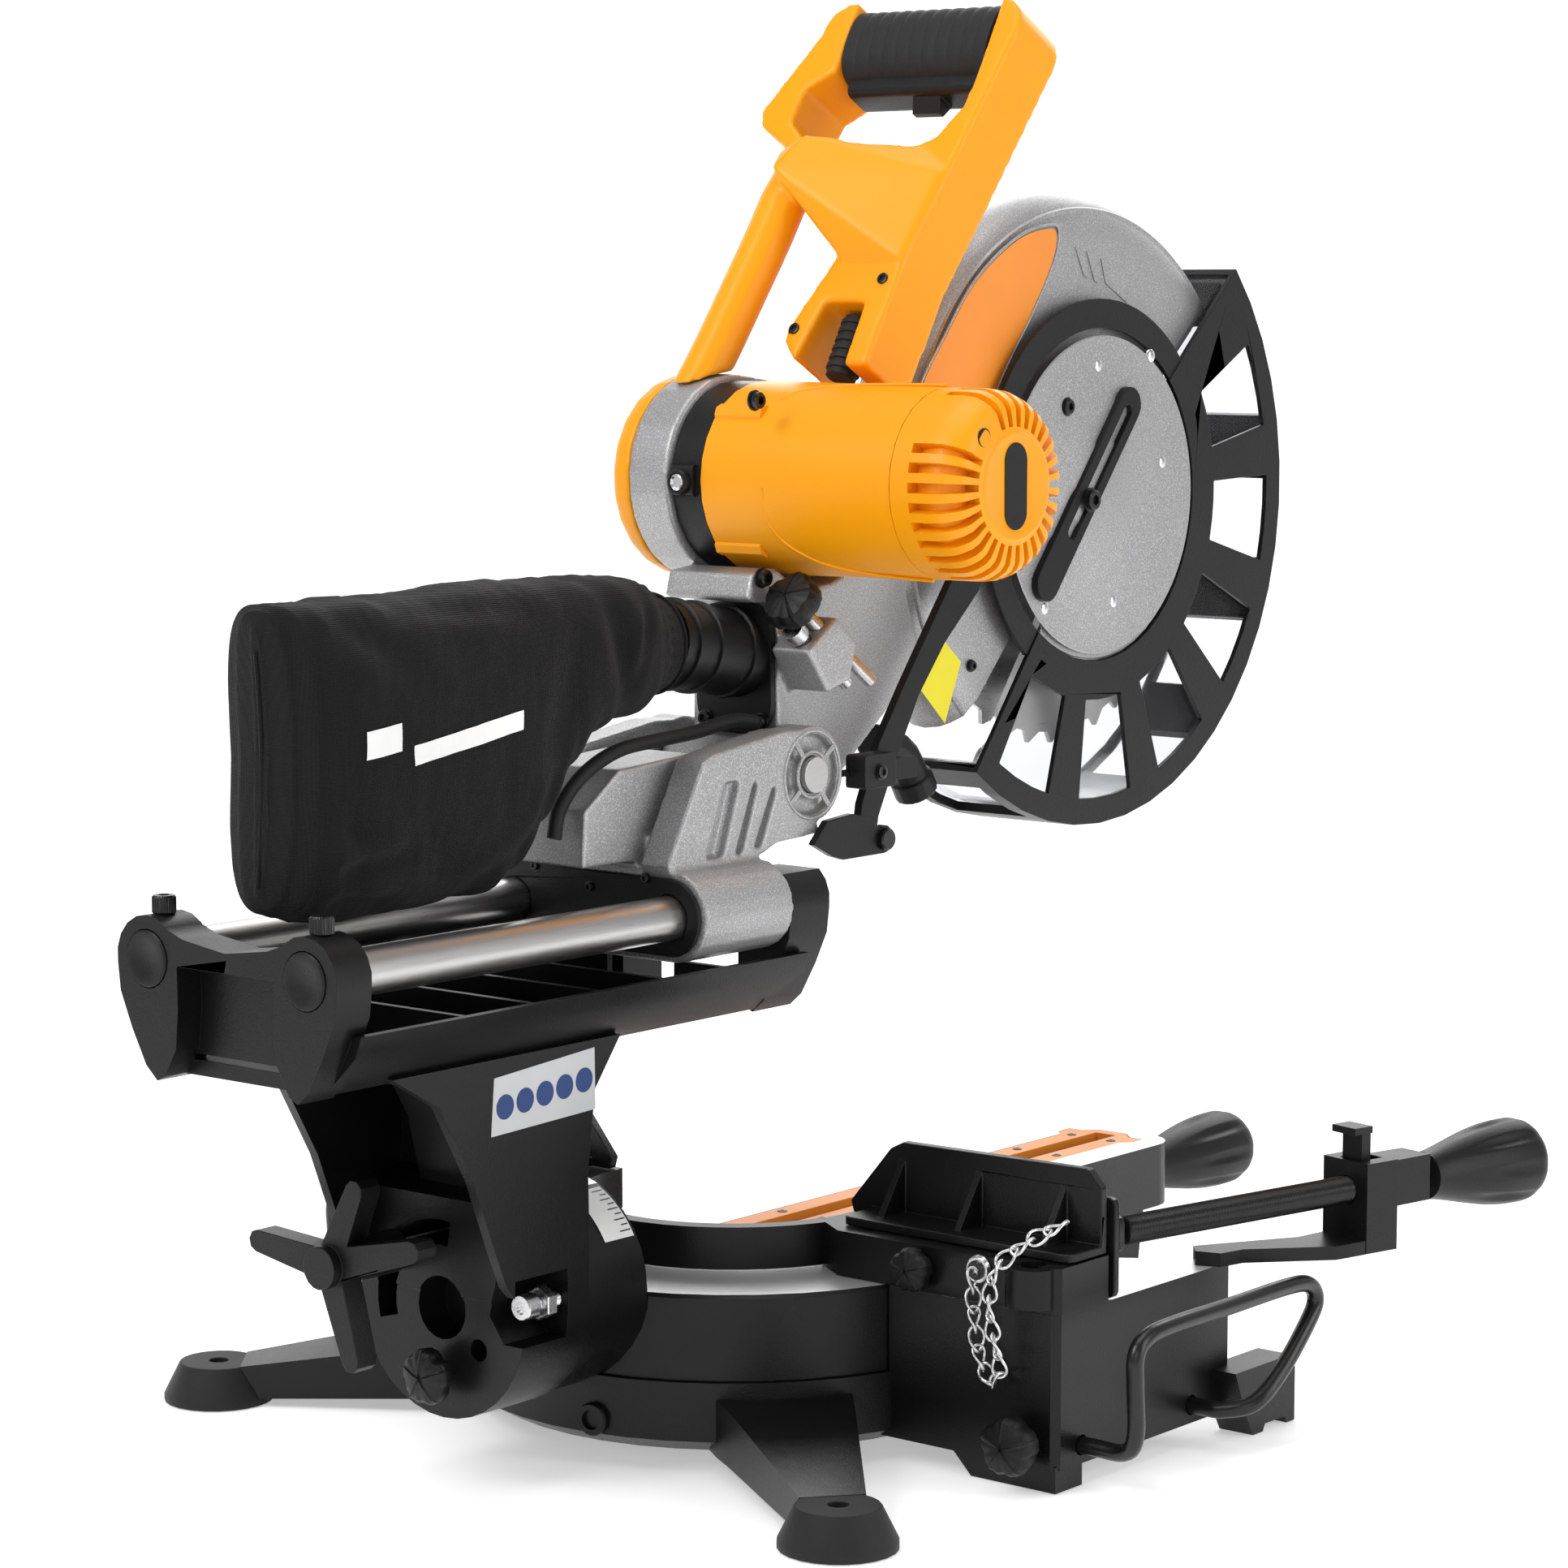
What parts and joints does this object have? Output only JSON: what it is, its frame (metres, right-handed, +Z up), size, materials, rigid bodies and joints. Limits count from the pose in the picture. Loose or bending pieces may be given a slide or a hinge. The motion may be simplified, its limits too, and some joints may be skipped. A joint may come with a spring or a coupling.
{
  "type": "sliding compound mitre saw",
  "caption": "Dual-rail sliding compound mitre saw with tilting head, clear lower guard, dust bag, sliding fences and side clamp.",
  "frame": {"origin": "centre of the bounding box on the bench plane, under the feet", "axes": "+Z up; +Y to the rear, along the rails; +X to the right as the user stands at the mitre grip"},
  "size_m": [0.6394, 0.9024, 0.7917],
  "materials": {
    "black_casting": "satin, fine cast texture",
    "silver_paint": "metallic, light speckle",
    "machined_silver": "fine machined, satin",
    "yellow_plastic": "satin to gloss moulding",
    "orange_plastic": "matt moulding",
    "grip_plastic": "matt, lightly grained",
    "rubber_dark": "matt",
    "bright_steel": "ground and polished",
    "plated_steel": "zinc plated",
    "black_wire": "gloss black",
    "clear_guard": "clear polycarbonate",
    "woven_bag": "woven polyester"
  },
  "bodies": {
    "base": {"base_casting": "black_casting", "foot_rear_left": "rubber_dark", "foot_rear_right": "rubber_dark", "fence_casting": "black_casting", "chain_bolt": "plated_steel", "fence_chain": "plated_steel", "clamp_frame": "black_casting"},
    "fence_slide_left": {"fence_left": "machined_silver"},
    "fence_slide_right": {"fence_right": "machined_silver"},
    "fence_lock_left": {"fence_knob_left": "grip_plastic"},
    "fence_lock_right": {"fence_knob_right": "grip_plastic"},
    "bail_slide_left": {"bail_left": "black_wire"},
    "bail_slide_right": {"bail_right": "black_wire"},
    "bail_lock_left": {"bail_knob_left": "grip_plastic"},
    "bail_lock_right": {"bail_knob_right": "grip_plastic"},
    "clamp_ram": {"clamp_pad": "black_casting"},
    "clamp_spindle": {"clamp_screw": "grip_plastic"},
    "clamp_lever": {"clamp_release": "black_casting"},
    "turntable": {"turntable_casting": "machined_silver", "kerf_insert": "orange_plastic"},
    "mitre_lock": {"mitre_grip": "grip_plastic"},
    "bevel_lock": {"bevel_lever": "grip_plastic"},
    "bevel_arm": {"bevel_column": "black_casting", "rail_left": "bright_steel", "rail_right": "bright_steel", "rail_plug_left": "grip_plastic", "rail_plug_right": "grip_plastic", "set_screw_left": "plated_steel", "set_screw_right": "plated_steel", "bevel_stop_bolt": "plated_steel"},
    "bevel_detent": {"bevel_detent_knob": "grip_plastic"},
    "carriage": {"carriage_casting": "silver_paint", "seal_plate": "grip_plastic", "pivot_shaft": "bright_steel", "link_bracket": "black_casting", "lock_block": "grip_plastic"},
    "head": {"arm_casting": "silver_paint", "belt_cover": "yellow_plastic", "motor_spacer": "grip_plastic", "motor_housing": "yellow_plastic", "motor_end_cap": "yellow_plastic", "upper_guard": "silver_paint", "handle_frame": "yellow_plastic", "grip_sleeve": "rubber_dark", "switch_boot": "rubber_dark", "dust_chute": "grip_plastic", "dust_bag": "woven_bag", "laser_unit": "grip_plastic", "stop_screw": "plated_steel", "head_cable": "rubber_dark"},
    "switch_trigger": {"trigger": "grip_plastic"},
    "depth_stop": {"depth_bolt": "grip_plastic"},
    "blade": {"saw_blade": "bright_steel", "arbor": "bright_steel"},
    "lower_guard": {"guard_frame": "grip_plastic", "guard_shell": "clear_guard", "hub_plate": "silver_paint", "slotted_lever": "black_casting"},
    "guard_drive": {"guard_link": "black_casting"}
  },
  "joints": [
    {"name": "mitre", "type": "hinge", "parent": "base", "child": "turntable", "pos_m": [0.02041, 0.06175, 0.048], "axis": [0, 0, 1], "range_deg": [-48, 48]},
    {"name": "mitre_lock_turn", "type": "hinge", "parent": "turntable", "child": "mitre_lock", "pos_m": [0.02041, -0.39825, 0.066], "axis": [0, 1, 0], "range_deg": [-90, 90]},
    {"name": "bevel", "type": "hinge", "parent": "turntable", "child": "bevel_arm", "pos_m": [0.02041, 0.27175, 0.097], "axis": [0, 1, 0], "range_deg": [-48, 48]},
    {"name": "bevel_lock_turn", "type": "hinge", "parent": "turntable", "child": "bevel_lock", "pos_m": [0.05041, 0.34175, 0.124], "axis": [0, 1, 0], "range_deg": [-45, 45]},
    {"name": "bevel_detent_pull", "type": "slide", "parent": "bevel_arm", "child": "bevel_detent", "axis": [0, 1, 0], "range_m": [0, 0.008], "stiffness_N_per_m": 600, "springref_m": -0.004},
    {"name": "rail_slide", "type": "slide", "parent": "bevel_arm", "child": "carriage", "axis": [0, -1, 0], "range_m": [-0.19, 0]},
    {"name": "chop", "type": "hinge", "parent": "carriage", "child": "head", "pos_m": [0.02041, 0.06175, 0.36], "axis": [1, 0, 0], "range_deg": [0, 46], "stiffness_Nm_per_rad": 14, "springref_deg": -80.21, "deforming": ["head_cable"]},
    {"name": "blade_spin", "type": "hinge", "parent": "head", "child": "blade", "pos_m": [0.02041, -0.23725, 0.502], "axis": [1, 0, 0], "continuous": true},
    {"name": "guard_turn", "type": "hinge", "parent": "head", "child": "lower_guard", "pos_m": [0.02041, -0.23725, 0.502], "axis": [1, 0, 0], "range_deg": [-142, 0]},
    {"name": "guard_link_turn", "type": "hinge", "parent": "carriage", "child": "guard_drive", "pos_m": [-0.02959, 0.00475, 0.319], "axis": [1, 0, 0], "range_deg": [0, 50.5]},
    {"name": "trigger_press", "type": "slide", "parent": "head", "child": "switch_trigger", "axis": [0, -0.487, 0.8734], "range_m": [0, 0.004], "stiffness_N_per_m": 900, "springref_m": -0.002},
    {"name": "depth_bolt_turn", "type": "hinge", "parent": "head", "child": "depth_stop", "pos_m": [-0.02559, 0.07375, 0.4597], "axis": [0, -0.8194, -0.5733], "range_deg": [-180, 180]},
    {"name": "fence_left_slide", "type": "slide", "parent": "base", "child": "fence_slide_left", "axis": [-1, 0, 0], "range_m": [0, 0.05], "deforming": ["fence_chain"]},
    {"name": "fence_right_slide", "type": "slide", "parent": "base", "child": "fence_slide_right", "axis": [1, 0, 0], "range_m": [0, 0.05]},
    {"name": "fence_lock_left_turn", "type": "hinge", "parent": "base", "child": "fence_lock_left", "pos_m": [-0.14559, 0.11175, 0.108], "axis": [0, 1, 0], "range_deg": [-90, 90]},
    {"name": "fence_lock_right_turn", "type": "hinge", "parent": "base", "child": "fence_lock_right", "pos_m": [0.18641, 0.11175, 0.108], "axis": [0, 1, 0], "range_deg": [-90, 90]},
    {"name": "bail_left_slide", "type": "slide", "parent": "base", "child": "bail_slide_left", "axis": [-1, 0, 0], "range_m": [0, 0.05]},
    {"name": "bail_right_slide", "type": "slide", "parent": "base", "child": "bail_slide_right", "axis": [1, 0, 0], "range_m": [0, 0.05]},
    {"name": "bail_lock_left_turn", "type": "hinge", "parent": "base", "child": "bail_lock_left", "pos_m": [-0.21659, 0.12175, 0.026], "axis": [0, 1, 0], "range_deg": [-90, 90]},
    {"name": "bail_lock_right_turn", "type": "hinge", "parent": "base", "child": "bail_lock_right", "pos_m": [0.25741, 0.12175, 0.026], "axis": [0, 1, 0], "range_deg": [-90, 90]},
    {"name": "clamp_ram_slide", "type": "slide", "parent": "base", "child": "clamp_ram", "axis": [-0.222, -0.975, 0], "range_m": [0, 0.07]},
    {"name": "clamp_spindle_turn", "type": "hinge", "parent": "clamp_ram", "child": "clamp_spindle", "pos_m": [-0.23059, 0.04775, 0.129], "axis": [-0.222, -0.975, 0], "continuous": true},
    {"name": "clamp_release_turn", "type": "hinge", "parent": "base", "child": "clamp_lever", "pos_m": [-0.27059, -0.13025, 0.146], "axis": [0.975, -0.222, 0], "range_deg": [0, 14], "stiffness_Nm_per_rad": 0.6, "springref_deg": -17.19}
  ],
  "couplings": [
    {"joint": "guard_turn", "follows": "chop", "ratio": -3.08},
    {"joint": "guard_link_turn", "follows": "chop", "ratio": 1.087}
  ]
}
